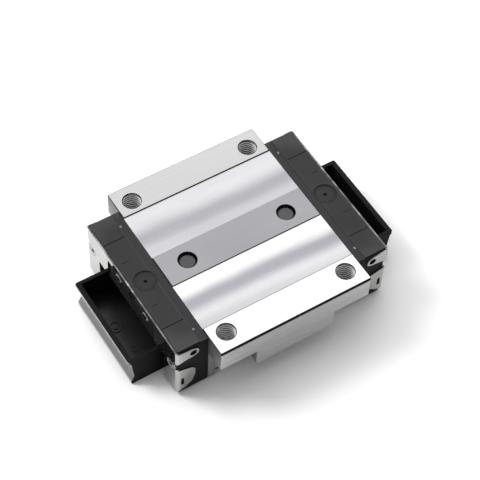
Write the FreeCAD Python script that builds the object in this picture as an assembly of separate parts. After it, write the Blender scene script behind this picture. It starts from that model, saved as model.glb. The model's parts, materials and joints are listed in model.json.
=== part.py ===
import FreeCAD, Part
import os, math
from FreeCAD import Vector as V

# Flanged wide-type linear guide carriage on its plastic mounting rail.
# Units mm. X runs along the rail, Y across it, Z up.
# Origin: centre of the base, on the plane the mounting rail stands on.

# ---- driving dimensions -------------------------------------------------
W_FLANGE = 100.0      # overall width across the flange
L_TOTAL = 110.5       # carriage length over the steel end plates
E1 = 82.0             # mounting holes, across
E2 = 62.0             # mounting holes, along
E3 = 52.0             # plugged middle holes, along
D_HOLE = 8.5          # mounting hole, tapping diameter of its M10 thread
D_MID = 8.6           # middle hole
C_HOLE, C_MID = 0.35, 0.25      # chamfers at their mouths
C_EDGE = 0.6          # chamfer along the two long top edges of the flange
H = 34.5              # top face above the base plane
L_BLOCK = 78.0        # steel block length
T_FLANGE = 12.5       # flange thickness at its corners
Z_BOSS = 12.0         # underside of the thick middle of the flange
X_BOSS = 20.4         # half length of the thick middle
BAND_IN, BAND_OUT = 8.8, 34.5   # ground bands on the top face
BAND_D = 0.5
Y_LEG = 38.6          # outer face of the legs
Z_LEG = 3.0           # underside of the legs
X_LEG = 35.6          # half length of the legs
Y_CH = 31.0           # half width of the channel between the legs
Z_CH = 20.2           # roof of the channel
# ball circuits
D_BALL = 3.969
Y_LOAD, Y_RET = 29.4, 35.4      # loaded row and return row
Z_UP, Z_LO = 15.6, 8.4
R_TURN = (Y_RET - Y_LOAD) / 2.0
Y_TURN = (Y_RET + Y_LOAD) / 2.0
R_TUBE = 2.15         # ball passage
R_RACE = 2.02         # raceway groove
X_TURN = 39.0         # centre of the turn arcs
# end parts
X_CAP = 54.5          # outer face of the end cap
Y_CAP = 39.5
Z_CAP0, Z_CAP1 = 1.2, 33.9
CAP_R = 1.8
T_PLATE = 0.75
X_PLATE = L_TOTAL / 2.0
T_TAB = 0.7
Y_OPEN, Z_OPEN = 28.5, 18.9     # rail opening
SCREW_OUT = (34.9, 20.3)        # y, z of the outer end screws
SCREW_IN = (11.8, 25.7)         # y, z of the inner end screws
PORT_Z = 26.2                   # end grease port
R_M3 = 1.5
# mounting rail
L_RAIL = 141.0
Y_RAIL = 28.1
Z_RAIL = 18.0
Y_TRAY = 24.6
X_TRAY = 52.0
T_WALL = 1.8
Z_FLOOR = 3.2


# ---- helpers ------------------------------------------------------------
def box(x0, x1, y0, y1, z0, z1):
    return Part.makeBox(x1 - x0, y1 - y0, z1 - z0, V(x0, y0, z0))


def cyl(r, p0, p1):
    a, b = V(*p0), V(*p1)
    return Part.makeCylinder(r, (b - a).Length, a, b - a)


def cone(r0, r1, p0, p1):
    a, b = V(*p0), V(*p1)
    return Part.makeCone(r0, r1, (b - a).Length, a, b - a)


def prism(points, direction):
    pts = [V(*p) for p in points]
    return Part.Face(Part.makePolygon(pts + [pts[0]])).extrude(V(*direction))


def rounded_yz(pts, radii, x0, x1):
    """Polygon in the YZ plane with rounded corners, extruded along X."""
    return rounded(pts, radii, lambda a, b: V(x0, a, b), V(x1 - x0, 0, 0))


def rounded(pts, radii, place, direction):
    n = len(pts)
    edges = []
    starts, ends, mids = [], [], []
    for i in range(n):
        p0, p1, p2 = pts[i - 1], pts[i], pts[(i + 1) % n]
        r = radii[i]
        v1 = (p0[0] - p1[0], p0[1] - p1[1])
        v2 = (p2[0] - p1[0], p2[1] - p1[1])
        l1, l2 = math.hypot(*v1), math.hypot(*v2)
        u1, u2 = (v1[0] / l1, v1[1] / l1), (v2[0] / l2, v2[1] / l2)
        if r <= 0:
            starts.append(p1); ends.append(p1); mids.append(None)
            continue
        cosang = max(-1.0, min(1.0, u1[0] * u2[0] + u1[1] * u2[1]))
        half = math.acos(cosang) / 2.0
        t = r / math.tan(half)
        s = (p1[0] + u1[0] * t, p1[1] + u1[1] * t)
        e = (p1[0] + u2[0] * t, p1[1] + u2[1] * t)
        b = (u1[0] + u2[0], u1[1] + u2[1])
        lb = math.hypot(*b)
        d = r / math.sin(half) - r
        m = (p1[0] + b[0] / lb * d, p1[1] + b[1] / lb * d)
        starts.append(s); ends.append(e); mids.append(m)
    for i in range(n):
        if mids[i] is not None:
            edges.append(Part.Arc(place(*starts[i]), place(*mids[i]), place(*ends[i])).toShape())
        a, b = ends[i], starts[(i + 1) % n]
        if math.hypot(a[0] - b[0], a[1] - b[1]) > 1e-7:
            edges.append(Part.makeLine(place(*a), place(*b)))
    return Part.Face(Part.Wire(edges)).extrude(direction)


def plan_prism(x0, x1, y0, y1, r, z0, z1, corners=(1, 1, 1, 1)):
    pts = [(x0, y0), (x1, y0), (x1, y1), (x0, y1)]
    return rounded(pts, [r * c for c in corners], lambda a, b: V(a, b, z0), V(0, 0, z1 - z0))


def mirror_x(s):
    return s.mirror(V(0, 0, 0), V(1, 0, 0))


def mirror_y(s):
    return s.mirror(V(0, 0, 0), V(0, 1, 0))


def both_y(s):
    return [s, mirror_y(s)]


def fuse(shapes):
    out = shapes[0]
    if len(shapes) > 1:
        out = out.fuse(shapes[1:])
    return out.removeSplitter()


def cut(base, tools):
    return base.cut(tools)


def hexagon(af, p, depth, sign):
    """Hexagon socket with its mouth at p, sunk along -sign X."""
    r = af / math.sqrt(3.0)
    pts = [(p[0], p[1] + r * math.cos(math.radians(60 * k)), p[2] + r * math.sin(math.radians(60 * k))) for k in range(6)]
    return prism(pts, (-sign * depth, 0, 0))


def solid_of(s, name):
    if len(s.Solids) == 1:
        return s.Solids[0]
    raise RuntimeError("%s has %d solids" % (name, len(s.Solids)))


parts = {}


def keep(name, shape, count=1):
    if count == 1:
        shape = solid_of(shape, name)
    if not shape.isValid():
        raise RuntimeError(name + " is not valid")
    parts[name] = shape


# ---- steel block --------------------------------------------------------
half = L_BLOCK / 2.0
hw = W_FLANGE / 2.0
zb = H - T_FLANGE
c = C_EDGE
top = [(-hw, zb), (hw, zb), (hw, H - c), (hw - c, H), (BAND_OUT, H), (BAND_OUT, H - BAND_D),
       (BAND_IN, H - BAND_D), (BAND_IN, H), (-BAND_IN, H), (-BAND_IN, H - BAND_D),
       (-BAND_OUT, H - BAND_D), (-BAND_OUT, H), (-hw + c, H), (-hw, H - c)]
slab = prism([(-half, y, z) for y, z in top], (L_BLOCK, 0, 0))
slab = slab.common(plan_prism(-half, half, -hw, hw, 0.9, zb - 1, H + 1))
ce = 0.3
slab = slab.common(prism([(-half, -hw - 1, zb - 1), (half, -hw - 1, zb - 1), (half, -hw - 1, H - ce), (half - ce, -hw - 1, H),
                          (-half + ce, -hw - 1, H), (-half, -hw - 1, H - ce)], (0, W_FLANGE + 2, 0)))
boss = rounded([(-X_BOSS, Z_BOSS), (X_BOSS, Z_BOSS), (X_BOSS, zb + 0.5), (-X_BOSS, zb + 0.5)], [1.0, 1.0, 0, 0],
               lambda a, b: V(a, Y_LEG - 1.0, b), V(0, hw - Y_LEG + 1.0, 0))
core = box(-X_LEG, X_LEG, -Y_LEG, Y_LEG, Z_LEG, zb + 0.5)
channel = box(-X_LEG - 1, X_LEG + 1, -Y_CH, Y_CH, Z_LEG - 1, Z_CH)
core = cut(core, [channel])
for y in (Y_LEG,):
    for s in both_y(prism([(-X_LEG - 1, y, Z_LEG - 0.01), (-X_LEG - 1, y + 0.01, Z_LEG - 0.01), (-X_LEG - 1, y + 0.01, Z_LEG + 0.8), (-X_LEG - 1, y - 0.8, Z_LEG - 0.01)], (2 * X_LEG + 2, 0, 0))):
        core = cut(core, [s])
block = fuse([slab, core] + both_y(boss))
tools = []
for sy in (1, -1):
    for z in (Z_UP, Z_LO):
        tools.append(cyl(R_RACE, (-X_LEG - 1, sy * Y_LOAD, z), (X_LEG + 1, sy * Y_LOAD, z)))
        tools.append(cyl(R_TUBE, (-X_LEG - 1, sy * Y_RET, z), (X_LEG + 1, sy * Y_RET, z)))
for sx in (1, -1):
    for sy in (1, -1):
        x, y = sx * E2 / 2, sy * E1 / 2
        tools.append(cyl(D_HOLE / 2, (x, y, zb - 1), (x, y, H + 1)))
        tools.append(cone(D_HOLE / 2, D_HOLE / 2 + C_HOLE + 0.1, (x, y, H - C_HOLE), (x, y, H + 0.1)))
        tools.append(cone(D_HOLE / 2 + C_HOLE + 0.1, D_HOLE / 2, (x, y, zb - 0.1), (x, y, zb + C_HOLE)))
        tools.append(cyl(R_M3, (sx * (X_LEG - 10), sy * SCREW_OUT[0], SCREW_OUT[1]), (sx * (half + 1), sy * SCREW_OUT[0], SCREW_OUT[1])))
        tools.append(cyl(R_M3, (sx * (half - 9), sy * SCREW_IN[0], SCREW_IN[1]), (sx * (half + 1), sy * SCREW_IN[0], SCREW_IN[1])))
    x = sx * E3 / 2
    tools.append(cyl(D_MID / 2, (x, 0, Z_CH - 1), (x, 0, H + 1)))
    tools.append(cone(D_MID / 2, D_MID / 2 + C_MID + 0.1, (x, 0, H - C_MID), (x, 0, H + 0.1)))
block = cut(block, tools)
keep("carriage_block", block)

# plugs in the middle holes
for name, sx in (("hole_plug_front", 1), ("hole_plug_rear", -1)):
    x = sx * E3 / 2
    p = fuse([cyl(D_MID / 2, (x, 0, H - 6.0), (x, 0, H - 4.2)), cyl(D_MID / 2 - 0.6, (x, 0, H - 5.0), (x, 0, H - 1.6)),
              cone(D_MID / 2 - 0.6, D_MID / 2 - 0.9, (x, 0, H - 1.6), (x, 0, H - 1.3))])
    keep(name, p)


# ---- ball circuits ------------------------------------------------------
def half_torus(sx, sy, z, r):
    t = Part.makeTorus(R_TURN, r, V(sx * X_TURN, sy * Y_TURN, z), V(0, 0, 1))
    keepbox = box(X_TURN, X_TURN + 10, -60, 60, -5, 40) if sx > 0 else box(-X_TURN - 10, -X_TURN, -60, 60, -5, 40)
    return t.common(keepbox)


straight = 2 * X_TURN
arc = math.pi * R_TURN
path = 2 * straight + 2 * arc
n_balls = int(path / (D_BALL + 0.06))
step = path / n_balls


def on_path(s, sy, z):
    s = s % path
    if s < straight:
        return V(-X_TURN + s, sy * Y_LOAD, z)
    s -= straight
    if s < arc:
        a = s / R_TURN
        return V(X_TURN + R_TURN * math.sin(a), sy * (Y_TURN - R_TURN * math.cos(a)), z)
    s -= arc
    if s < straight:
        return V(X_TURN - s, sy * Y_RET, z)
    s -= straight
    a = s / R_TURN
    return V(-X_TURN - R_TURN * math.sin(a), sy * (Y_TURN + R_TURN * math.cos(a)), z)


for side, sy in (("left", 1), ("right", -1)):
    for row, z, ph in (("upper", Z_UP, 0.0), ("lower", Z_LO, 0.5)):
        balls = []
        for k in range(n_balls):
            p = on_path((k + ph) * step, sy, z)
            balls.append(Part.makeSphere(D_BALL / 2, p))
        keep("ball_row_%s_%s" % (row, side), Part.makeCompound(balls), n_balls)

# ball retainers: a strip with two long slots, one for each loaded row
x_ret = X_TURN + 5.6
for side, sy in (("left", 1), ("right", -1)):
    s = box(-x_ret, x_ret, 28.6, Y_CH - 0.1, 4.2, 19.4)
    if sy < 0:
        s = mirror_y(s)
    tools = []
    for z in (Z_UP, Z_LO):
        tools.append(cyl(R_TUBE, (-X_TURN, sy * Y_LOAD, z), (X_TURN, sy * Y_LOAD, z)))
        tools += [half_torus(1, sy, z, R_TUBE), half_torus(-1, sy, z, R_TUBE)]
    keep("ball_retainer_" + side, cut(s, tools))

# return guides: the inner halves of the ball turns, one at each corner
for end, sx in (("front", 1), ("rear", -1)):
    for side, sy in (("left", 1), ("right", -1)):
        g = cyl(R_TURN, (sx * X_TURN, sy * Y_TURN, 5.6), (sx * X_TURN, sy * Y_TURN, 18.4))
        g = g.common(box(X_TURN, X_TURN + 10, Y_CH, 40, 0, 30) if (sx, sy) == (1, 1) else
                     box(-X_TURN - 10, -X_TURN, Y_CH, 40, 0, 30) if (sx, sy) == (-1, 1) else
                     box(X_TURN, X_TURN + 10, -40, -Y_CH, 0, 30) if (sx, sy) == (1, -1) else
                     box(-X_TURN - 10, -X_TURN, -40, -Y_CH, 0, 30))
        g = cut(g, [half_torus(sx, sy, z, R_TUBE) for z in (Z_UP, Z_LO)])
        keep("return_guide_%s_%s" % (end, side), g)

# return plates: between the legs and the caps, under the flange ends
for end, sx in (("front", 1), ("rear", -1)):
    yo = 40.0
    pts = [(-yo, 1.8), (-Y_CH, 1.8), (-Y_CH, Z_CH), (Y_CH, Z_CH), (Y_CH, 1.8), (yo, 1.8), (yo, zb), (-yo, zb)]
    p = rounded_yz(pts, [0.8, 0.4, 0, 0, 0.4, 0.8, 0.4, 0.4], sx * X_LEG, sx * half)
    tools = []
    for sy in (1, -1):
        for z in (Z_UP, Z_LO):
            tools.append(cyl(R_TUBE, (sx * (X_LEG - 1), sy * Y_RET, z), (sx * (half + 1), sy * Y_RET, z)))
            tools.append(cyl(R_TUBE, (sx * (X_LEG - 1), sy * Y_LOAD, z), (sx * (half + 1), sy * Y_LOAD, z)))
        tools.append(cyl(R_M3 + 0.15, (sx * (X_LEG - 1), sy * SCREW_OUT[0], SCREW_OUT[1]), (sx * (half + 1), sy * SCREW_OUT[0], SCREW_OUT[1])))
    keep("return_plate_" + end, cut(p, tools))


# ---- end caps (built at +X, mirrored for the rear) ----------------------
def end_cap():
    e = 0.5
    body = plan_prism(half, X_CAP, -Y_CAP, Y_CAP, CAP_R, Z_CAP0, Z_CAP1, corners=(0, 1, 1, 0))
    # eased top edges
    body = body.common(prism([(half - 1, -Y_CAP, Z_CAP0 - 1), (half - 1, Y_CAP, Z_CAP0 - 1), (half - 1, Y_CAP, Z_CAP1 - e), (half - 1, Y_CAP - e, Z_CAP1),
                              (half - 1, -Y_CAP + e, Z_CAP1), (half - 1, -Y_CAP, Z_CAP1 - e)], (X_CAP - half + 2, 0, 0)))
    body = body.common(prism([(half, -Y_CAP - 1, Z_CAP0 - 1), (X_CAP, -Y_CAP - 1, Z_CAP0 - 1), (X_CAP, -Y_CAP - 1, Z_CAP1 - e), (X_CAP - e, -Y_CAP - 1, Z_CAP1),
                              (half, -Y_CAP - 1, Z_CAP1)], (0, 2 * Y_CAP + 2, 0)))
    tools = [box(half - 1, X_CAP + 1, -Y_OPEN, Y_OPEN, Z_CAP0 - 1, Z_OPEN)]
    for sy in (1, -1):
        y0, y1 = sorted((sy * (Y_OPEN - 1), sy * (Y_CH + 0.05)))
        tools.append(box(half - 1, x_ret + 0.15, y0, y1, 4.0, 19.6))
        g = cyl(R_TURN + 0.05, (half - 0.001, sy * Y_TURN, 5.5), (half - 0.001, sy * Y_TURN, 18.5))
        tools.append(g)
        for z in (Z_UP, Z_LO):
            tools.append(half_torus(1, sy, z, R_TUBE))
        tools.append(cyl(R_M3 + 0.15, (half - 1, sy * SCREW_OUT[0], SCREW_OUT[1]), (X_CAP + 1, sy * SCREW_OUT[0], SCREW_OUT[1])))
        tools.append(cone(1.65, 3.05, (53.4, sy * SCREW_OUT[0], SCREW_OUT[1]), (55.0, sy * SCREW_OUT[0], SCREW_OUT[1])))
        tools.append(cyl(R_M3 + 0.15, (half - 1, sy * SCREW_IN[0], SCREW_IN[1]), (X_CAP + 1, sy * SCREW_IN[0], SCREW_IN[1])))
        # side grease hole under the round hole of the plate's tab
        tools.append(cyl(1.7, (46.9, sy * (Y_CAP + 1), 29.4), (46.9, sy * (Y_CAP - 3.0), 29.4)))
        # seam across the top and the small notch by the block
        ya, yb = sorted((sy * 25.4, sy * 25.8))
        tools.append(box(43.4, X_CAP + 1, ya, yb, Z_CAP1 - 0.35, Z_CAP1 + 1))
        ya, yb = sorted((sy * 31.0, sy * 32.6))
        tools.append(box(41.6, 42.7, ya, yb, Z_CAP1 - 0.8, Z_CAP1 + 1))
        ya, yb = sorted((sy * 13.0, sy * 13.3))
        tools.append(box(48.6, 51.6, ya, yb, Z_CAP1 - 0.2, Z_CAP1 + 1))
    # seal pocket
    tools.append(box(53.0, X_CAP + 1, -31.6, 31.6, 3.0, 31.9))
    # strip beside the block, a little lower than the top
    tools.append(box(half - 1, 43.0, -Y_CAP - 1, Y_CAP + 1, Z_CAP1 - 0.25, Z_CAP1 + 1))
    # round lubrication pad with its centre mark
    tools.append(cyl(5.5, (46.9 + 0.6, 0, Z_CAP1 - 0.45), (46.9 + 0.6, 0, Z_CAP1 + 1)))
    tools.append(cyl(0.8, (46.9 + 0.6, 0, Z_CAP1 - 1.4), (46.9 + 0.6, 0, Z_CAP1 + 1)))
    # end grease port
    tools.append(cyl(2.5, (46.0, 0, PORT_Z), (X_CAP + 1, 0, PORT_Z)))
    body = cut(body, tools)
    return body


def end_plate():
    zt, zl = 33.3, 2.6
    flat = box(X_CAP, X_PLATE, -Y_CAP - T_TAB, Y_CAP + T_TAB, zl, zt)
    tabs = []
    y_in = Y_CAP
    up = [(X_PLATE, 25.2), (X_PLATE, 33.0), (46.8, 32.1), (44.1, 31.2), (44.1, 27.6), (46.8, 26.6), (50.0, 26.2)]
    lo = [(X_PLATE, 3.2), (X_PLATE, 20.2), (47.4, 17.9), (45.8, 16.0), (45.8, 11.4), (47.4, 7.0), (51.2, 4.3)]
    for sy in (1, -1):
        y = y_in if sy > 0 else -y_in - T_TAB
        t1 = rounded(up, [0, 0, 1.5, 2.0, 2.0, 1.5, 3.0], lambda a, b: V(a, y, b), V(0, T_TAB, 0))
        t2 = rounded(lo, [0, 0, 1.5, 1.0, 2.0, 2.0, 3.0], lambda a, b: V(a, y, b), V(0, T_TAB, 0))
        tabs += [t1, t2]
    # bend on the two upright edges, rounded inside and out
    bends = []
    for sy in (1, -1):
        y0, y1 = sorted((sy * (Y_CAP - 0.9), sy * (Y_CAP + 0.05)))
        bends.append(box(X_CAP - 0.85, X_CAP + 0.05, y0, y1, zl, zt).cut(cyl(0.87, (X_CAP - 0.85, sy * (Y_CAP - 0.9), 0), (X_CAP - 0.85, sy * (Y_CAP - 0.9), 40))))
    s = fuse([flat] + tabs + bends)
    s = s.common(plan_prism(40.0, X_PLATE, -Y_CAP - T_TAB, Y_CAP + T_TAB, 1.6, 0, 40, corners=(0, 1, 1, 0)))
    tools = [box(X_CAP - 1, X_PLATE + 1, -Y_OPEN - 0.3, Y_OPEN + 0.3, 0, Z_OPEN + 0.2),
             rounded_yz([(-20.5, 17.0), (20.5, 17.0), (20.5, 30.6), (-20.5, 30.6)], [0, 0, 1.2, 1.2], X_CAP - 1, X_PLATE + 1),
             rounded_yz([(-13.0, 28.0), (13.0, 28.0), (13.0, 32.4), (-13.0, 32.4)], [0, 0, 0.8, 0.8], X_CAP - 1, X_PLATE + 1)]
    for sy in (1, -1):
        tools.append(cone(1.2, 3.0, (53.3, sy * SCREW_OUT[0], SCREW_OUT[1]), (X_PLATE + 0.05, sy * SCREW_OUT[0], SCREW_OUT[1])))
        # relief slot between the tabs, round the corner
        ya, yb = sorted((sy * 37.4, sy * 41.0))
        pts = [(ya, 20.6), (yb, 20.6), (yb, 24.9), (ya, 24.9)]
        tools.append(rounded_yz(pts, [1.8 if sy > 0 else 0, 0 if sy > 0 else 1.8, 0 if sy > 0 else 1.8, 1.8 if sy > 0 else 0], X_CAP - 1, X_PLATE + 1))
        y0, y1 = sorted((sy * (Y_CAP - 1), sy * (Y_CAP + 2)))
        tools.append(box(51.4, 53.0, y0, y1, 7.6, 12.6))
        tools.append(cyl(1.75, (46.9, y0, 29.4), (46.9, y1, 29.4)))
        # foot of the upright stands clear of the base
        y0, y1 = sorted((sy * 36.0, sy * 42.0))
        tools.append(prism([(X_CAP - 1, y0 if sy > 0 else y1, 0), (X_CAP - 1, sy * 42.0, 0), (X_CAP - 1, sy * 42.0, 4.6)], (3, 0, 0)))
    return cut(s, tools)


def end_seal():
    yo, zo = 31.5, 31.8
    yi, zi = 28.4, 18.4
    pts = [(-yo, 3.1), (-yi, 3.1), (-yi, zi), (yi, zi), (yi, 3.1), (yo, 3.1), (yo, zo), (-yo, zo)]
    s = rounded_yz(pts, [0.5, 0, 0.8, 0.8, 0, 0.5, 0.5, 0.5], 53.0, X_CAP)
    # raised lip round the rail opening
    lip_o = rounded_yz([(-20.0, zi), (20.0, zi), (20.0, zi + 1.6), (-20.0, zi + 1.6)], [0, 0, 0.6, 0.6], 54.0, 54.95)
    s = fuse([s, lip_o])
    tools = [cyl(3.0, (52, 0, PORT_Z), (56, 0, PORT_Z))]
    for sy in (1, -1):
        tools.append(cyl(2.75, (52, sy * SCREW_IN[0], SCREW_IN[1]), (56, sy * SCREW_IN[0], SCREW_IN[1])))
        y0, y1 = sorted((sy * 31.0, sy * 32.0))
    s = cut(s, tools)
    return s


def outer_screws():
    out = []
    for sy in (1, -1):
        y, z = sy * SCREW_OUT[0], SCREW_OUT[1]
        s = fuse([cyl(1.48, (28.0, y, z), (53.6, y, z)), cone(1.35, 2.85, (53.5, y, z), (55.15, y, z))])
        s = cut(s, [hexagon(2.0, (55.2, y, z), 1.2, 1)])
        out.append(solid_of(s, "screw"))
    return out


def inner_screws():
    out = []
    for sy in (1, -1):
        y, z = sy * SCREW_IN[0], SCREW_IN[1]
        s = fuse([cyl(1.48, (31.0, y, z), (53.2, y, z)), cyl(2.6, (53.0, y, z), (54.5, y, z)), cone(2.6, 2.3, (54.5, y, z), (54.9, y, z))])
        s = cut(s, [hexagon(2.5, (54.95, y, z), 1.3, 1)])
        out.append(solid_of(s, "screw"))
    return out


def port_screw():
    s = fuse([cyl(2.48, (48.0, 0, PORT_Z), (53.6, 0, PORT_Z)), cone(2.48, 2.1, (53.6, 0, PORT_Z), (53.95, 0, PORT_Z))])
    return cut(s, [hexagon(2.5, (54.0, 0, PORT_Z), 2.6, 1)])


cap, plate, seal = end_cap(), end_plate(), end_seal()
port = port_screw()
oscr, iscr = outer_screws(), inner_screws()
for end, f in (("front", lambda s: s), ("rear", mirror_x)):
    keep("end_cap_" + end, f(cap))
    keep("end_plate_" + end, f(plate))
    keep("end_seal_" + end, f(seal))
    keep("grease_port_screw_" + end, f(port))
    keep("plate_screws_" + end, Part.makeCompound([f(s) for s in oscr]), 2)
    keep("cap_screws_" + end, Part.makeCompound([f(s) for s in iscr]), 2)

# ---- side seals under the legs ------------------------------------------
for side, sy in (("left", 1), ("right", -1)):
    pts = [(28.45, 1.7), (28.45, 2.2), (30.2, Z_LEG), (38.0, Z_LEG), (38.0, 1.7)]
    s = prism([(-X_LEG, y, z) for y, z in pts], (2 * X_LEG, 0, 0))
    keep("side_seal_" + side, s if sy > 0 else mirror_y(s))

# ---- plastic mounting rail ----------------------------------------------
mid = box(-X_TRAY, X_TRAY, -Y_RAIL, Y_RAIL, 0, Z_RAIL)
xr = L_RAIL / 2.0


def tray(sx):
    # side view of the end: rim lip, recessed wall with draft, flared foot
    prof = [(X_TRAY - 0.5, 0), (xr - 1.2, 0), (xr - 1.2, 2.4), (xr - 2.7, 5.6), (xr - 1.4, 15.9), (xr, 16.6), (xr, Z_RAIL), (X_TRAY - 0.5, Z_RAIL)]
    s = rounded([(sx * x, z) for x, z in prof], [0, 0.4, 0.6, 0.8, 0.4, 0.4, 0.3, 0], lambda a, b: V(a, -Y_TRAY, b), V(0, 2 * Y_TRAY, 0))
    x0, x1 = sorted((sx * (X_TRAY - 1), sx * (xr + 1)))
    s = s.common(plan_prism(x0, sx * xr if sx > 0 else x1, -Y_TRAY, Y_TRAY, 1.2, -1, 40, corners=(0, 1, 1, 0))) if sx > 0 else \
        s.common(plan_prism(sx * xr, x1, -Y_TRAY, Y_TRAY, 1.2, -1, 40, corners=(1, 0, 0, 1)))
    return s


rail = fuse([mid, tray(1), tray(-1)])
tools = []
for sx in (1, -1):
    # the end wall leans in below the rim, so that it keeps its thickness
    w = [(X_TRAY - 6.0, Z_FLOOR), (xr - 4.0, Z_FLOOR), (xr - 4.0, 5.6), (xr - 2.6, 16.4), (xr - 2.4, Z_RAIL + 1), (X_TRAY - 6.0, Z_RAIL + 1)]
    hollow = prism([(sx * x, -Y_TRAY + T_WALL, z) for x, z in w], (0, 2 * (Y_TRAY - T_WALL), 0))
    x0, x1 = sorted((sx * (X_TRAY - 6.5), sx * (xr - 2.4)))
    tools.append(hollow.common(plan_prism(x0, x1, -Y_TRAY + T_WALL, Y_TRAY - T_WALL, 0.8, Z_FLOOR - 1, Z_RAIL + 2)))
for sy in (1, -1):
    for z in (Z_UP, Z_LO):
        tools.append(cyl(2.35, (-X_TRAY - 1, sy * Y_LOAD, z), (X_TRAY + 1, sy * Y_LOAD, z)))
# shallow relief panels on the underside, between the standing ribs
for i in range(6):
    for j in range(3):
        cx, cy = -37.5 + 15.0 * i, -17.0 + 17.0 * j
        tools.append(box(cx - 6, cx + 6, cy - 6.6, cy + 6.6, -1, 2.2))
rail = cut(rail, tools)
adds = [box(62.4, 63.4, -Y_TRAY + T_WALL - 0.2, Y_TRAY - T_WALL + 0.2, Z_FLOOR - 0.5, Z_FLOOR + 2.0)]
adds.append(cyl(3.1, (-61.8, 3.4, Z_FLOOR - 0.5), (-61.8, 3.4, Z_FLOOR + 0.45)).cut(cyl(2.4, (-61.8, 3.4, Z_FLOOR - 1), (-61.8, 3.4, Z_FLOOR + 1))))
adds.append(cyl(1.3, (-61.8, 3.4, Z_FLOOR - 0.5), (-61.8, 3.4, Z_FLOOR + 0.5)))
adds.append(cyl(1.7, (-60.2, -11.0, Z_FLOOR - 0.5), (-60.2, -11.0, Z_FLOOR + 0.35)).cut(cyl(1.1, (-60.2, -11.0, Z_FLOOR - 1), (-60.2, -11.0, Z_FLOOR + 1))))
rail = fuse([rail] + adds)
keep("mounting_rail", rail)

# ---- write --------------------------------------------------------------
os.makedirs("parts", exist_ok=True)
for name, shape in parts.items():
    shape.exportStep(os.path.join("parts", name + ".step"))
    print("%-28s solids %3d  volume %10.1f" % (name, len(shape.Solids), shape.Volume))
print(len(parts), "nodes,", n_balls, "balls a row")
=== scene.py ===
import bpy, bmesh, json, math
from mathutils import Vector, Matrix


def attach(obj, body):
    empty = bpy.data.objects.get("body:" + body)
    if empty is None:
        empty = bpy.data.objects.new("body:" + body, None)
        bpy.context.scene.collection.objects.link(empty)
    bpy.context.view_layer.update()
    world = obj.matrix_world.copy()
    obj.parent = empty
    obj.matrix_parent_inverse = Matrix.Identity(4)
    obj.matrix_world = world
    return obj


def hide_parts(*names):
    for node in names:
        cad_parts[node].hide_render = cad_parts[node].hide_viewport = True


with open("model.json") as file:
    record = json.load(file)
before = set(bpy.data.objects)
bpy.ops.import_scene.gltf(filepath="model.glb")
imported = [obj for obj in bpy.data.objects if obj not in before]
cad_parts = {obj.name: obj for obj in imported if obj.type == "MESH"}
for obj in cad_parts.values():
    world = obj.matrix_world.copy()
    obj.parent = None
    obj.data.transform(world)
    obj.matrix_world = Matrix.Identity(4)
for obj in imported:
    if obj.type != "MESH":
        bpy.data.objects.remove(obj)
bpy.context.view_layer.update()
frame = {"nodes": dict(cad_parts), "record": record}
NODES = frame["nodes"]
S = bpy.context.scene
MM = 0.001

# sizes shared with the CAD model, in millimetres
H = 34.5
E1, E2, E3 = 82.0, 62.0, 52.0
Z_CAP1 = 33.9


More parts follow.
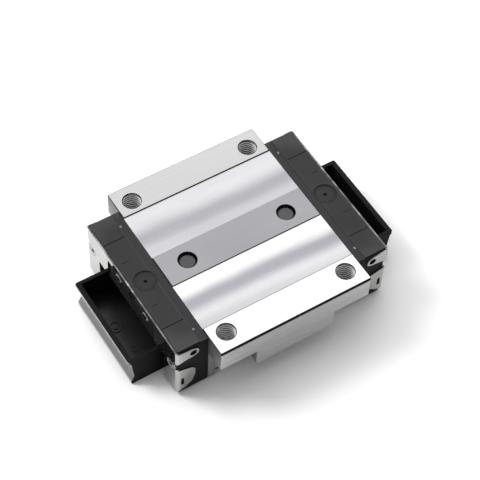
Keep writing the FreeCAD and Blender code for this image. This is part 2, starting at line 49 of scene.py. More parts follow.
# ------------------------------------------------------------ node helpers
class Mat:
    """Small helper for building a node material."""

    def __init__(self, name):
        self.m = bpy.data.materials.new(name)
        self.m.use_nodes = True
        self.t = self.m.node_tree
        self.t.nodes.clear()
        self.out = self.n("ShaderNodeOutputMaterial")
        self.b = self.n("ShaderNodeBsdfPrincipled")
        self.link(self.b.outputs["BSDF"], self.out.inputs["Surface"])
        self.coord = self.n("ShaderNodeTexCoord")

    def n(self, kind, **kw):
        x = self.t.nodes.new(kind)
        for k, v in kw.items():
            setattr(x, k, v)
        return x

    def link(self, a, b):
        self.t.links.new(a, b)

    def set(self, **kw):
        for k, v in kw.items():
            self.b.inputs[k.replace("_", " ")].default_value = v

    def mapping(self, scale=(1, 1, 1), rot=(0, 0, 0), loc=(0, 0, 0)):
        mp = self.n("ShaderNodeMapping")
        mp.inputs["Scale"].default_value = scale
        mp.inputs["Rotation"].default_value = rot
        mp.inputs["Location"].default_value = loc
        self.link(self.coord.outputs["Object"], mp.inputs["Vector"])
        return mp.outputs["Vector"]

    def noise(self, scale, detail=4.0, rough=0.5, stretch=(1, 1, 1), loc=(0, 0, 0), dist=0.0):
        x = self.n("ShaderNodeTexNoise")
        x.inputs["Scale"].default_value = scale
        x.inputs["Detail"].default_value = detail
        x.inputs["Roughness"].default_value = rough
        x.inputs["Distortion"].default_value = dist
        self.link(self.mapping(stretch, loc=loc), x.inputs["Vector"])
        return x.outputs["Fac"]

    def voronoi(self, scale, stretch=(1, 1, 1), feature="F1"):
        x = self.n("ShaderNodeTexVoronoi", feature=feature)
        x.inputs["Scale"].default_value = scale
        self.link(self.mapping(stretch), x.inputs["Vector"])
        return x.outputs["Distance"]

    def ramp(self, fac, stops, interp="LINEAR"):
        x = self.n("ShaderNodeValToRGB")
        x.color_ramp.interpolation = interp
        els = x.color_ramp.elements
        while len(els) < len(stops):
            els.new(0.5)
        for e, (p, c) in zip(els, stops):
            e.position = p
            e.color = (c[0], c[1], c[2], 1) if hasattr(c, "__len__") else (c, c, c, 1)
        self.link(fac, x.inputs["Fac"])
        return x.outputs["Color"]

    def math(self, op, a, b=None, c=None, clamp=False):
        x = self.n("ShaderNodeMath", operation=op, use_clamp=clamp)
        for i, v in enumerate((a, b, c)):
            if v is None:
                continue
            if isinstance(v, (int, float)):
                x.inputs[i].default_value = v
            else:
                self.link(v, x.inputs[i])
        return x.outputs[0]

    def mix(self, fac, a, b, blend="MIX"):
        x = self.n("ShaderNodeMix", data_type="RGBA", blend_type=blend)
        for sock, v in ((x.inputs[0], fac), (x.inputs[6], a), (x.inputs[7], b)):
            if isinstance(v, (int, float)):
                sock.default_value = v
            elif hasattr(v, "__len__"):
                sock.default_value = (v[0], v[1], v[2], 1)
            else:
                self.link(v, sock)
        return x.outputs[2]

    def remap(self, v, a, b, c, d):
        x = self.n("ShaderNodeMapRange")
        x.inputs[1].default_value = a
        x.inputs[2].default_value = b
        x.inputs[3].default_value = c
        x.inputs[4].default_value = d
        self.link(v, x.inputs[0])
        return x.outputs[0]

    def xyz(self):
        x = self.n("ShaderNodeSeparateXYZ")
        self.link(self.coord.outputs["Object"], x.inputs[0])
        return x.outputs

    def normal(self):
        g = self.n("ShaderNodeNewGeometry")
        x = self.n("ShaderNodeSeparateXYZ")
        self.link(g.outputs["True Normal"], x.inputs[0])
        return x.outputs

    def pointy(self):
        return self.n("ShaderNodeNewGeometry").outputs["Pointiness"]

    def bump(self, height, strength, dist):
        x = self.n("ShaderNodeBump")
        x.inputs["Strength"].default_value = strength
        x.inputs["Distance"].default_value = dist
        self.link(height, x.inputs["Height"])
        self.link(x.outputs["Normal"], self.b.inputs["Normal"])
        return x.outputs["Normal"]

    def color(self, v):
        self.link(v, self.b.inputs["Base Color"])

    def rough(self, v):
        self.link(v, self.b.inputs["Roughness"])


# ------------------------------------------------------------ materials
def ground_steel():
    """Precision-ground block: pads, lower bands, milled flanks and near-black chamfers, told apart by where they lie;
    the pads', bands' and ends' brightness carries painted reflection.
    """
    m = Mat("ground_steel")
    m.set(Metallic=1.0)
    p = m.xyz()
    nz = m.normal()
    ay = m.math("ABSOLUTE", p[1])
    up = m.math("GREATER_THAN", nz[2], 0.96)
    side = m.math("LESS_THAN", nz[2], 0.2)
    slope = m.math("MULTIPLY", m.math("LESS_THAN", nz[2], 0.96), m.math("GREATER_THAN", nz[2], 0.2))
    high = m.math("GREATER_THAN", p[2], 0.0338)
    centre = m.math("MULTIPLY", up, m.math("LESS_THAN", ay, 0.0088))
    outer = m.math("MULTIPLY", up, m.math("GREATER_THAN", ay, 0.0345))
    band = m.math("MULTIPLY", up, m.math("MULTIPLY", m.math("GREATER_THAN", ay, 0.0088), m.math("LESS_THAN", ay, 0.0345)))
    # grinding lines along X, very fine across
    fine = m.noise(900.0, 3.0, 0.6, stretch=(0.012, 1.0, 1.0))
    fine2 = m.noise(2600.0, 2.0, 0.5, stretch=(0.02, 1.0, 1.0))
    cloud = m.noise(60.0, 3.0, 0.5, stretch=(0.30, 1.0, 1.0), dist=0.3)
    wave = m.noise(26.0, 2.0, 0.4, stretch=(1.0, 0.5, 1.0))
    soft = m.noise(14.0, 2.0, 0.4)
    base = m.ramp(soft, [(0.25, (0.43, 0.43, 0.435)), (0.75, (0.50, 0.50, 0.505))])
    # the two bands: polished in the direction of travel; their brightness across Y, with one darker streak down the
    # middle of each and a cloudy mottle, is painted reflection of the studio light
    yy = m.math("ADD", p[1], m.math("MULTIPLY", m.math("SUBTRACT", wave, 0.5), 0.0042))
    yy = m.math("ADD", yy, m.math("MULTIPLY", m.math("SUBTRACT", cloud, 0.5), 0.0022))
    yy = m.math("ADD", yy, m.math("MULTIPLY", p[0], 0.025))
    t = m.remap(yy, -0.036, 0.036, 0.0, 1.0)
    prof = [(-34.5, 0.64), (-31.5, 0.72), (-28.5, 0.82), (-26.0, 0.66), (-23.5, 0.45), (-20.0, 0.41), (-18.2, 0.56), (-16.0, 0.92), (-12.0, 1.00), (-9.0, 1.00),
            (9.0, 0.58), (11.5, 0.64), (14.0, 0.58), (16.5, 0.46), (19.5, 0.43), (22.0, 0.54), (24.5, 0.71), (28.0, 0.78), (31.0, 0.75), (34.5, 0.70)]
    stops = []
    for y, v in prof:
        v *= 0.735
        tint = 0.03 * (1.0 - v)
        stops.append(((y + 36.0) / 72.0, (v, v - 0.3 * tint, v + tint)))
    band_painted_reflection = m.ramp(t, stops, "B_SPLINE")
    band_painted_reflection = m.mix(1.0, band_painted_reflection, m.ramp(cloud, [(0.30, 0.93), (0.65, 1.0)]), "MULTIPLY")
    # painted reflection: the near outer pad (-Y) is painted lighter than the far one (+Y)
    near = m.ramp(m.remap(p[1], -0.05, 0.05, 0.0, 1.0), [(0.45, 1.0), (0.55, 0.0)])
    outer_pad_painted_reflection = m.mix(near, m.ramp(soft, [(0.2, (0.436, 0.438, 0.438)), (0.8, (0.475, 0.475, 0.475))]), m.ramp(soft, [(0.2, (0.705, 0.705, 0.708)), (0.8, (0.735, 0.735, 0.735))]))
    cenc = m.ramp(m.noise(40.0, 3.0, 0.5, stretch=(0.5, 1.0, 1.0)), [(0.2, (0.292, 0.288, 0.307)), (0.8, (0.344, 0.339, 0.358))])
    col = m.mix(band, base, band_painted_reflection)
    col = m.mix(outer, col, outer_pad_painted_reflection)
    col = m.mix(centre, col, cenc)
    # milled flanks: lines left by the cutter
    end = m.math("GREATER_THAN", m.math("ABSOLUTE", nz[0]), 0.7)
    mill = m.noise(420.0, 3.0, 0.6, stretch=(0.03, 1.0, 1.0))
    col = m.mix(m.math("MULTIPLY", side, m.ramp(mill, [(0.50, 0.0), (0.78, 0.35)])), col, (0.56, 0.56, 0.57))
    # the sawn ends are duller; their colour is a painted floor reflection, lighter towards the foot and darker towards
    # the top edge
    end_painted_reflection = m.ramp(m.remap(p[2], 0.0, 0.0345, 0.0, 1.0), [(0.55, (0.30, 0.30, 0.305)), (0.95, (0.14, 0.14, 0.142))])
    col = m.mix(end, col, end_painted_reflection)
    # chamfers, the little steps beside the bands and the flange's top lip are painted near-black
    steps = m.math("MULTIPLY", m.math("MULTIPLY", side, high), m.math("LESS_THAN", ay, 0.036))
    dark = m.math("MAXIMUM", steps, m.math("MULTIPLY", slope, high))
    lip = m.math("MULTIPLY", m.math("MULTIPLY", side, m.math("GREATER_THAN", p[2], 0.0331)), m.math("GREATER_THAN", ay, 0.0495))
    dark = m.math("MAXIMUM", dark, lip)
    # a fine dark line where each outer pad begins, painted shade of the small step there
    step_line_painted_shade = m.math("MULTIPLY", m.math("MULTIPLY", up, high), m.math("MULTIPLY", m.math("GREATER_THAN", ay, 0.0344), m.math("LESS_THAN", ay, 0.0348)))
    col = m.mix(step_line_painted_shade, col, (0.13, 0.13, 0.132))
    col = m.mix(dark, col, (0.016, 0.016, 0.017))
    # painted highlight: up-facing chamfers and bevels below the top are painted lighter than the flanks
    col = m.mix(m.math("MULTIPLY", slope, m.math("SUBTRACT", 1.0, high)), col, (0.66, 0.66, 0.67))
    lines = m.ramp(fine, [(0.35, 0.955), (0.65, 1.0)])
    col = m.mix(1.0, col, lines, "MULTIPLY")
    m.color(col)
    r = m.math("MULTIPLY_ADD", cloud, 0.08, 0.20)
    r = m.math("ADD", r, m.math("MULTIPLY", fine, 0.07))
    r = m.math("ADD", r, m.math("MULTIPLY", m.math("MAXIMUM", centre, dark), 0.14))
    m.rough(r)
    hgt = m.math("ADD", m.math("MULTIPLY", fine, 0.6), m.math("MULTIPLY", fine2, 0.4))
    m.bump(m.math("MULTIPLY", hgt, m.math("SUBTRACT", 1.0, end)), 0.18, 0.00002)
    return m.m


def thread_steel():
    """Cut thread: bright crests and flanks; the roots are painted near-black, a painted shade in the thread's grooves.
    """
    m = Mat("thread_steel")
    m.set(Metallic=0.25)
    p = m.xyz()
    dx = m.math("SUBTRACT", m.math("ABSOLUTE", p[0]), E2 / 2 * MM)
    dy = m.math("SUBTRACT", m.math("ABSOLUTE", p[1]), E1 / 2 * MM)
    d = m.math("SQRT", m.math("ADD", m.math("MULTIPLY", dx, dx), m.math("MULTIPLY", dy, dy)))
    n = m.noise(500.0, 3.0)
    # painted shade: colour runs from bright at the crest radius to near-black at the root radius
    c = m.ramp(m.remap(d, 0.00425, 0.00505, 0.0, 1.0), [(0.0, (0.97, 0.97, 0.97)), (0.36, (0.94, 0.94, 0.94)), (0.48, (0.02, 0.02, 0.021)), (1.0, (0.002, 0.002, 0.002))])
    m.color(m.mix(1.0, c, m.ramp(n, [(0.3, 0.80), (0.7, 1.0)]), "MULTIPLY"))
    m.rough(m.remap(n, 0, 1, 0.22, 0.38))
    m.bump(n, 0.2, 0.00003)
    return m.m


def stainless():
    """Bright rolled sheet, nearly a mirror, with very slight waves."""
    m = Mat("stainless_sheet")
    m.set(Metallic=1.0)
    roll = m.noise(900.0, 2.0, 0.5, stretch=(1.0, 0.02, 1.0))
    soft = m.noise(55.0, 2.0)
    base = m.ramp(soft, [(0.3, (0.38, 0.38, 0.37)), (0.7, (0.48, 0.48, 0.47))])
    m.color(base)
    m.rough(m.math("MULTIPLY_ADD", roll, 0.07, 0.07))
    m.bump(m.math("ADD", m.math("MULTIPLY", roll, 0.2), soft), 0.05, 0.00005)
    return m.m


def cap_plastic():
    """Charcoal moulded plastic with a fine spark-eroded texture."""
    m = Mat("cap_plastic")
    tex = m.noise(2600.0, 3.0, 0.65)
    soft = m.noise(70.0, 3.0, 0.5)
    flow = m.noise(26.0, 4.0, 0.55, stretch=(1.0, 0.35, 1.0), dist=0.6)
    c = m.ramp(flow, [(0.3, (0.0135, 0.0135, 0.0145)), (0.7, (0.0200, 0.0200, 0.0215))])
    edge = m.ramp(m.pointy(), [(0.51, 0.0), (0.60, 1.0)])
    c = m.mix(m.math("MULTIPLY", edge, 0.4), c, (0.06, 0.06, 0.063))
    # painted shade: the round lubrication mark is darkened round its rim and at its centre
    p = m.xyz()
    dx = m.math("SUBTRACT", m.math("ABSOLUTE", p[0]), 0.0475)
    d = m.math("SQRT", m.math("ADD", m.math("MULTIPLY", dx, dx), m.math("MULTIPLY", p[1], p[1])))
    crater_painted_shade = m.ramp(m.remap(d, 0.0, 0.0065, 0.0, 1.0), [(0.0, 0.35), (0.12, 0.55), (0.30, 0.95), (0.60, 0.80), (0.76, 0.38), (0.82, 1.0)])
    c = m.mix(m.math("GREATER_THAN", p[2], 0.0325), c, m.mix(1.0, c, crater_painted_shade, "MULTIPLY"))
    m.color(c)
    m.b.inputs["Specular IOR Level"].default_value = 0.30
    m.rough(m.math("ADD", m.math("MULTIPLY_ADD", soft, 0.12, 0.46), m.math("MULTIPLY", tex, 0.08)))
    m.bump(m.math("ADD", tex, m.math("MULTIPLY", soft, 0.5)), 0.32, 0.00006)
    return m.m


def rail_plastic():
    """Black glossier moulded plastic of the mounting rail."""
    m = Mat("rail_plastic")
    soft = m.noise(48.0, 4.0, 0.55, dist=0.4)
    tex = m.noise(1300.0, 3.0, 0.6)
    scuff = m.noise(380.0, 4.0, 0.7, stretch=(0.25, 1.0, 1.0))
    c = m.ramp(soft, [(0.3, (0.0045, 0.0045, 0.0048)), (0.75, (0.0075, 0.0075, 0.0082))])
    c = m.mix(m.ramp(scuff, [(0.68, 0.0), (0.80, 0.4)]), c, (0.03, 0.03, 0.03))
    m.color(c)
    m.b.inputs["Specular IOR Level"].default_value = 0.50
    m.rough(m.math("ADD", m.math("MULTIPLY_ADD", soft, 0.14, 0.20), m.math("MULTIPLY", tex, 0.08)))
    m.bump(m.math("ADD", m.math("MULTIPLY", tex, 0.5), soft), 0.25, 0.00008)
    return m.m


def plastic(name, lo, hi, rough=0.45, scale=1500.0, strength=0.25):
    m = Mat(name)
    tex = m.noise(scale, 3.0, 0.6)
    soft = m.noise(90.0, 3.0)
    m.color(m.ramp(soft, [(0.3, lo), (0.7, hi)]))
    m.rough(m.math("ADD", m.math("MULTIPLY_ADD", soft, 0.1, rough - 0.08), m.math("MULTIPLY", tex, 0.08)))
    m.bump(tex, strength, 0.00005)
    return m.m


def rubber():
    m = Mat("seal_rubber")
    tex = m.noise(1800.0, 4.0, 0.7)
    soft = m.noise(120.0, 3.0)
    m.color(m.ramp(soft, [(0.3, (0.007, 0.007, 0.007)), (0.7, (0.012, 0.012, 0.012))]))
    m.b.inputs["Specular IOR Level"].default_value = 0.25
    m.rough(m.remap(tex, 0, 1, 0.55, 0.75))
    m.bump(tex, 0.3, 0.00005)
    return m.m


def ball_steel():
    m = Mat("ball_steel")
    m.set(Metallic=1.0)
    n = m.noise(900.0, 2.0)
    m.color(m.ramp(n, [(0.3, (0.80, 0.80, 0.81)), (0.7, (0.84, 0.84, 0.85))]))
    m.rough(m.remap(n, 0, 1, 0.05, 0.10))
    return m.m


def black_oxide():
    m = Mat("black_oxide_steel")
    m.set(Metallic=1.0)
    n = m.noise(1100.0, 3.0, 0.6)
    edge = m.ramp(m.pointy(), [(0.50, 0.0), (0.58, 1.0)])
    c = m.ramp(n, [(0.3, (0.08, 0.08, 0.085)), (0.7, (0.14, 0.14, 0.145))])
    m.color(m.mix(edge, c, (0.42, 0.42, 0.42)))
    m.rough(m.remap(n, 0, 1, 0.28, 0.44))
    m.bump(n, 0.2, 0.00003)
    return m.m


def sheared_edge():
    """Cut edge of the sheet: duller and streaked, with a few bright burrs."""
    m = Mat("sheared_edge")
    m.set(Metallic=1.0)
    n = m.noise(260.0, 3.0, 0.6, stretch=(0.3, 1.0, 1.0))
    b = m.noise(90.0, 2.0, 0.5)
    c = m.ramp(n, [(0.35, (0.10, 0.10, 0.10)), (0.62, (0.30, 0.30, 0.295)), (0.72, (0.62, 0.62, 0.61))])
    m.color(m.mix(1.0, c, m.ramp(b, [(0.35, 0.55), (0.65, 1.0)]), "MULTIPLY"))
    m.rough(m.remap(n, 0, 1, 0.25, 0.5))
    m.bump(n, 0.3, 0.00005)
    return m.m


def polished_end_painted_sheen():
    """The glossy end walls of the mounting rail; their lighter colour is a painted sheen of the floor's reflection."""
    m = Mat("rail_plastic_end_painted_sheen")
    soft = m.noise(70.0, 4.0, 0.55, dist=0.4)
    scuff = m.noise(300.0, 4.0, 0.7, stretch=(1.0, 0.25, 1.0))
    # painted sheen: base colour lighter than the rest of the rail
    c = m.ramp(soft, [(0.3, (0.012, 0.012, 0.0125)), (0.75, (0.022, 0.022, 0.023))])
    m.color(m.mix(m.ramp(scuff, [(0.60, 0.0), (0.80, 0.5)]), c, (0.07, 0.07, 0.07)))
    m.b.inputs["Specular IOR Level"].default_value = 0.9
    m.b.inputs["Coat Weight"].default_value = 1.0
    m.b.inputs["Coat Roughness"].default_value = 0.12
    m.b.inputs["Coat IOR"].default_value = 1.7
    m.rough(m.remap(scuff, 0, 1, 0.12, 0.30))
    m.bump(m.math("ADD", m.math("MULTIPLY", scuff, 0.4), soft), 0.2, 0.00008)
    return m.m


def dull(name, lo, hi):
    """The sides of a moulding and the rail's rim: coarse, dull, near black; the caps' side copy is darker, a painted
    shade.
    """
    m = Mat(name)
    tex = m.noise(1500.0, 4.0, 0.7)
    soft = m.noise(60.0, 3.0)
    m.color(m.ramp(soft, [(0.3, lo), (0.7, hi)]))
    m.b.inputs["Specular IOR Level"].default_value = 0.10
    m.rough(m.remap(tex, 0, 1, 0.50, 0.72))
    m.bump(tex, 0.3, 0.00005)
    return m.m


def sawn_end():
    """The block's two ends: dull steel with a painted floor reflection, lighter towards the foot and darker towards the
    top.
    """
    m = Mat("block_end_steel")
    m.set(Metallic=0.6)
    p = m.xyz()
    soft = m.noise(90.0, 3.0)
    lines = m.noise(500.0, 2.0, 0.5, stretch=(1.0, 0.05, 1.0))
    # painted reflection of the floor: lighter low on the end face, darker towards the top
    c = m.ramp(m.remap(p[2], 0.018, 0.0345, 0.0, 1.0), [(0.05, (0.34, 0.34, 0.345)), (0.85, (0.17, 0.17, 0.172))])
    m.color(m.mix(1.0, c, m.ramp(lines, [(0.35, 0.88), (0.65, 1.0)]), "MULTIPLY"))
    m.rough(m.math("MULTIPLY_ADD", soft, 0.15, 0.38))
    m.bump(lines, 0.08, 0.00002)
    return m.m


M_BLOCK = ground_steel()
M_THREAD = thread_steel()
M_PLATE = stainless()
M_CAP = cap_plastic()
M_RAIL = rail_plastic()
# painted shade: the caps' side faces get a darker copy of the cap plastic
M_CAP_SIDE_PAINTED_SHADE = dull("cap_plastic_side_painted_shade", (0.0065, 0.0065, 0.007), (0.0095, 0.0095, 0.010))
M_EDGE = sheared_edge()
M_RAIL_END_PAINTED_SHEEN = polished_end_painted_sheen()
M_RAIL_SIDE = dull("rail_plastic_side", (0.0045, 0.0045, 0.0047), (0.0070, 0.0070, 0.0073))
M_RAIL_RIM = dull("rail_plastic_rim", (0.0060, 0.0060, 0.0062), (0.0100, 0.0100, 0.0104))
M_BLOCK_END = sawn_end()
# pale grey painted into the cap's small nicks
M_NICK = plastic("cap_plastic_pale_nick", (0.16, 0.16, 0.165), (0.26, 0.26, 0.27), rough=0.5)
M_GUIDE = plastic("guide_plastic", (0.28, 0.29, 0.30), (0.33, 0.34, 0.35))
M_RPLATE = plastic("return_plate_plastic", (0.13, 0.13, 0.132), (0.17, 0.17, 0.173), rough=0.4)
M_PLUG = plastic("plug_plastic", (0.030, 0.030, 0.032), (0.042, 0.042, 0.045), rough=0.4)
M_SEAL = rubber()
M_BALL = ball_steel()
M_SCREW = black_oxide()
BY_SLOT = {"block_steel": M_BLOCK, "stainless": M_PLATE, "ball_steel": M_BALL, "screw_steel": M_SCREW,
           "cap_plastic": M_CAP, "rail_plastic": M_RAIL, "guide_plastic": M_GUIDE, "return_plate_plastic": M_RPLATE,
           "plug_plastic": M_PLUG, "seal_rubber": M_SEAL}
SLOT_OF = {s["node"]: s["material_slot"] for s in frame["record"]["subparts"]}
BODY_OF = {n: b for b, ns in frame["record"]["behaviour"]["bodies"].items() for n in ns}


def paint(ob, mat):
    ob.data.materials.clear()
    ob.data.materials.append(mat)


for name, ob in NODES.items():
    paint(ob, BY_SLOT[SLOT_OF[name]])


# ------------------------------------------------------------ mesh helpers
def add_object(name, me, mat, body):
    ob = bpy.data.objects.new(name, me)
    S.collection.objects.link(ob)
    paint(ob, mat)
    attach(ob, body)
    return ob


def cylinder_mesh(cx, cy, r, z0, z1, seg=96):
    """A closed upright cylinder, in millimetres."""
    bm = bmesh.new()
    lo = [bm.verts.new(((cx + r * math.cos(2 * math.pi * k / seg)) * MM, (cy + r * math.sin(2 * math.pi * k / seg)) * MM, z0 * MM)) for k in range(seg)]
    hi = [bm.verts.new((v.co.x, v.co.y, z1 * MM)) for v in lo]
    bm.faces.new(list(reversed(lo)))
    bm.faces.new(hi)
    for k in range(seg):
        q = (k + 1) % seg
        bm.faces.new((lo[k], lo[q], hi[q], hi[k]))
    me = bpy.data.meshes.new("cutter")
    bm.to_mesh(me)
    bm.free()
    return me


def shade(me, wide=1.25):
    """Flat faces stay flat, curved faces smooth, so that no large face shades unevenly."""
    bm = bmesh.new()
    bm.from_mesh(me)
    bm.normal_update()
    for f in bm.faces:
        longest = max(e.calc_length() for e in f.edges)
        curved = False
        for e in f.edges:
            if len(e.link_faces) == 2:
                a = e.calc_face_angle(0.0)
                if math.radians(0.6) < a < math.radians(30):
                    curved = True
                    break
        f.smooth = curved and f.calc_area() / longest < wide * MM
    for e in bm.edges:
        e.smooth = not (len(e.link_faces) == 2 and e.calc_face_angle(0.0) > math.radians(34))
    bm.to_mesh(me)
    bm.free()


def eased(node, width, segments=2, cutters=(), zones=()):
    """A finished copy of a CAD node: merged, its long sharp edges eased by a small bevel, shaded flat or smooth."""
    src = NODES[node]
    me = src.data.copy()
    me.name = node + "_finished_mesh"
    for a in list(me.attributes):
        if a.name in ("custom_normal", "sharp_face", "sharp_edge"):
            me.attributes.remove(a)
    ob = bpy.data.objects.new(node + "_finished", me)
    S.collection.objects.link(ob)
    bm = bmesh.new()
    bm.from_mesh(me)
    bmesh.ops.remove_doubles(bm, verts=bm.verts, dist=2e-6)
    bm.to_mesh(me)
    bm.free()
    if cutters:
        tmp = []
        for c in cutters:
            co = bpy.data.objects.new("cutter", c)
            S.collection.objects.link(co)
            tmp.append(co)
            md = ob.modifiers.new("cut", "BOOLEAN")
            md.operation = "DIFFERENCE"
            md.solver = "EXACT"
            md.object = co
        dg = bpy.context.evaluated_depsgraph_get()
        new = bpy.data.meshes.new_from_object(ob.evaluated_get(dg))
        ob.modifiers.clear()
        ob.data = new
        for co in tmp:
            c = co.data
            bpy.data.objects.remove(co)
            bpy.data.meshes.remove(c)
        bpy.data.meshes.remove(me)
        me = new
        me.name = node + "_finished_mesh"
    bm = bmesh.new()
    bm.from_mesh(me)
    bmesh.ops.remove_doubles(bm, verts=bm.verts, dist=2e-6)
    bmesh.ops.dissolve_degenerate(bm, edges=bm.edges, dist=1e-6)
    bmesh.ops.dissolve_limit(bm, angle_limit=math.radians(0.4), use_dissolve_boundaries=False, verts=bm.verts, edges=bm.edges)
    es = []
    for e in bm.edges:
        if len(e.link_faces) == 2 and e.is_convex and e.calc_length() > 2.5 * MM:
            a = e.calc_face_angle(0.0)
            if math.radians(55) < a < math.radians(125) and min(f.calc_area() / max(x.calc_length() for x in f.edges) for f in e.link_faces) > 2.5 * width * MM:
                es.append(e)
    if es:
        bmesh.ops.bevel(bm, geom=es, offset=width * MM, offset_type="OFFSET", segments=segments, profile=0.5, affect="EDGES", clamp_overlap=False, miter_outer="SHARP")
    bm.to_mesh(me)
    bm.free()
    shade(me)
    paint(ob, BY_SLOT[SLOT_OF[node]])
    for k, (mat, test) in enumerate(zones):
        me.materials.append(mat)
        for p in me.polygons:
            if test(p):
                p.material_index = k + 1
    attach(ob, BODY_OF[node])
    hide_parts(node)
    return ob


EASE = {"carriage_block": 0.10, "end_cap_front": 0.16, "end_cap_rear": 0.16, "end_plate_front": 0.08, "end_plate_rear": 0.08,
        "end_seal_front": 0.12, "end_seal_rear": 0.12, "return_plate_front": 0.12, "return_plate_rear": 0.12,
        "mounting_rail": 0.18, "hole_plug_front": 0.12, "hole_plug_rear": 0.12}


def faces_side(p):
    return abs(p.normal.y) > 0.5


def outer_end(p):
    """Outside of the mounting rail's two end walls, below the lip."""
    return abs(p.normal.x) > 0.35 and p.normal.x * p.center.x > 0 and abs(p.center.x) > 0.066


def cut_edge(p):
    return p.normal.z > 0.8 and p.center.z > 0.030


def rim(p):
    return p.normal.z > 0.8 and p.center.z > 0.0165


def nick(p):
    """The small nicks in the caps' strip beside the block, painted pale."""
    return abs(abs(p.center.x) - 0.04215) < 0.0007 and abs(abs(p.center.y) - 0.0318) < 0.001 and 0.030 < p.center.z


def block_end(p):
    return abs(p.normal.x) > 0.9 and abs(p.center.x) > 0.0385


ZONES = {"carriage_block": [(M_BLOCK_END, block_end)],
         "end_cap_front": [(M_CAP_SIDE_PAINTED_SHADE, faces_side), (M_NICK, nick)], "end_cap_rear": [(M_CAP_SIDE_PAINTED_SHADE, faces_side), (M_NICK, nick)],
         "mounting_rail": [(M_RAIL_SIDE, faces_side), (M_RAIL_END_PAINTED_SHEEN, outer_end), (M_RAIL_RIM, rim)],
         "end_plate_front": [(M_EDGE, cut_edge)], "end_plate_rear": [(M_EDGE, cut_edge)]}
HOLES = [(sx * E2 / 2, sy * E1 / 2) for sx, sy in ((1, 1), (1, -1), (-1, 1), (-1, -1))]
finished = {}
for node, w in EASE.items():
    cut = [cylinder_mesh(x, y, 5.2, 22.4, 34.05) for x, y in HOLES] if node == "carriage_block" else ()
    finished[node] = eased(node, w, cutters=cut, zones=ZONES.get(node, ()))


# ------------------------------------------------------------ threads of the four mounting holes
def thread(name, cx, cy, z0, z1, r_root, r_crest, pitch, r_out, seg=80):
    """The threaded wall of a bore as a closed sleeve: its inside follows the thread's helix."""
    rows = int(round((z1 - z0) / (pitch / 14.0)))
    me = bpy.data.meshes.new(name + "_mesh")
    verts, faces = [], []

    def radius(a, z):
        u = ((z - z0) / pitch - a / (2 * math.pi)) % 1.0
        u = abs(2.0 * u - 1.0)                      # 0 at the crest, 1 at the root
        u = min(1.0, max(0.0, (u - 0.12) / 0.76))
        return r_crest + (r_root - r_crest) * u

    for r in range(rows + 1):
        z = z0 + (z1 - z0) * r / rows
        for k in range(seg):
            a = 2 * math.pi * k / seg
            rr = radius(a, z)
            verts.append(((cx + rr * math.cos(a)) * MM, (cy + rr * math.sin(a)) * MM, z * MM))
    for z in (z0, z1):
        for k in range(seg):
            a = 2 * math.pi * k / seg
            verts.append(((cx + r_out * math.cos(a)) * MM, (cy + r_out * math.sin(a)) * MM, z * MM))
    lo, hi = (rows + 1) * seg, (rows + 2) * seg
    for r in range(rows):
        for k in range(seg):
            q = (k + 1) % seg
            a, b = r * seg, (r + 1) * seg
            faces.append((a + k, b + k, b + q, a + q))
    for k in range(seg):
        q = (k + 1) % seg
        faces.append((lo + k, lo + q, hi + q, hi + k))
        faces.append((k, q, lo + q, lo + k))
        t = rows * seg
        faces.append((t + q, t + k, hi + k, hi + q))
    me.from_pydata(verts, [], faces)
    me.validate()
    bm = bmesh.new()
    bm.from_mesh(me)
    bmesh.ops.recalc_face_normals(bm, faces=bm.faces)
    bm.to_mesh(me)
    bm.free()
    for p in me.polygons:
        p.use_smooth = True
    me.set_sharp_from_angle(angle=math.radians(50))
    return add_object(name, me, M_THREAD, "carriage")


for i, (x, y) in enumerate(HOLES):
    thread("hole_thread_%d" % (i + 1), x, y, 22.42, 34.03, 5.0, 4.27, 1.5, 5.15)


# ------------------------------------------------------------ floor, lights, camera
def floor_material():
    m = Mat("floor_paper")
    n = m.noise(3.0, 3.0)
    m.color(m.ramp(n, [(0.3, (0.82, 0.82, 0.82)), (0.7, (0.835, 0.835, 0.835))]))
    m.rough(m.remap(n, 0, 1, 0.75, 0.85))
    return m.m


bpy.ops.mesh.primitive_plane_add(size=6.0, location=(0, 0, -0.00005))
floor = bpy.context.object
floor.name = "floor"
paint(floor, floor_material())

world = bpy.data.worlds.new("studio")
S.world = world
world.use_nodes = True
wt = world.node_tree
wt.nodes.clear()
wo = wt.nodes.new("ShaderNodeOutputWorld")
bg = wt.nodes.new("ShaderNodeBackground")
wt.links.new(bg.outputs[0], wo.inputs[0])
# a white tent: brightest overhead and behind, a little darker near the horizon in front
tc = wt.nodes.new("ShaderNodeTexCoord")
dotp = wt.nodes.new("ShaderNodeVectorMath")
dotp.operation = "DOT_PRODUCT"
dotp.inputs[1].default_value = (0.30, 0.62, 0.72)
wt.links.new(tc.outputs["Generated"], dotp.inputs[0])
wr = wt.nodes.new("ShaderNodeValToRGB")
for e, (pos, v) in zip([wr.color_ramp.elements[0], wr.color_ramp.elements[1], wr.color_ramp.elements.new(0.5)], ((0.0, 0.24), (1.0, 0.60), (0.55, 0.43))):
    e.position = pos
    e.color = (v, v, v, 1)
mr = wt.nodes.new("ShaderNodeMapRange")
mr.inputs[1].default_value, mr.inputs[2].default_value = -1.0, 1.0
wt.links.new(dotp.outputs["Value"], mr.inputs[0])
wt.links.new(mr.outputs[0], wr.inputs["Fac"])
wt.links.new(wr.outputs["Color"], bg.inputs["Color"])
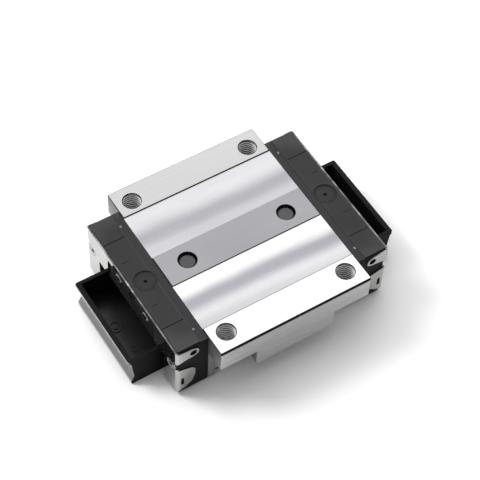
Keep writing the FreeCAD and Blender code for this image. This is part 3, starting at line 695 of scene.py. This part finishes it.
bg.inputs["Strength"].default_value = 1.0


def area(name, loc, target, size, power, size_y=None, color=(1, 1, 1)):
    l = bpy.data.lights.new(name, "AREA")
    l.shape = "RECTANGLE"
    l.size = size
    l.size_y = size_y or size
    l.energy = power
    l.color = color
    o = bpy.data.objects.new(name, l)
    S.collection.objects.link(o)
    o.location = loc
    d = Vector(target) - Vector(loc)
    o.rotation_mode = "QUATERNION"
    o.rotation_quaternion = d.to_track_quat("-Z", "Y")
    return o


# one very large softbox behind and above, mirrored by the ground faces; a smaller key gives the shadow its edge
area("softbox_large", (0.41, 0.60, 1.01), (0, 0, 0.02), 1.8, 5.6, size_y=1.6)
key = area("softbox_key", (-0.52, 0.52, 0.80), (0, 0, 0.02), 0.42, 8.6)
key.visible_glossy = False
top = area("softbox_top", (-0.12, 0.16, 1.33), (0, 0, 0), 0.8, 3.2)
top.visible_glossy = False

cam_data = bpy.data.cameras.new("camera")
cam = bpy.data.objects.new("camera", cam_data)
S.collection.objects.link(cam)
S.camera = cam
AZ, EL, ROLL = math.radians(-34.399), math.radians(54.085), math.radians(-3.1)
back = Vector((math.sin(AZ) * math.cos(EL), -math.cos(AZ) * math.cos(EL), math.sin(EL)))
fwd = -back
right = fwd.cross(Vector((0, 0, 1))).normalized()
down = fwd.cross(right)
r2 = right * math.cos(ROLL) + down * math.sin(ROLL)
d2 = down * math.cos(ROLL) - right * math.sin(ROLL)
upv = -d2
DIST, TX, TY = 724.492, -1.23, -1.933
target = Vector((0, 0, H))
# camera position: the target lies at (TX, TY, DIST) in camera coordinates (right, down, forward)
loc = target - (r2 * TX + d2 * TY + fwd * DIST)
cam.matrix_world = Matrix(((r2.x, upv.x, back.x, loc.x * MM), (r2.y, upv.y, back.y, loc.y * MM), (r2.z, upv.z, back.z, loc.z * MM), (0, 0, 0, 1)))
cam_data.sensor_width = 36.0
cam_data.lens = 1614.0 / 480.0 * 36.0
cam_data.clip_start, cam_data.clip_end = 0.01, 20.0
S.view_settings.view_transform = "Standard"
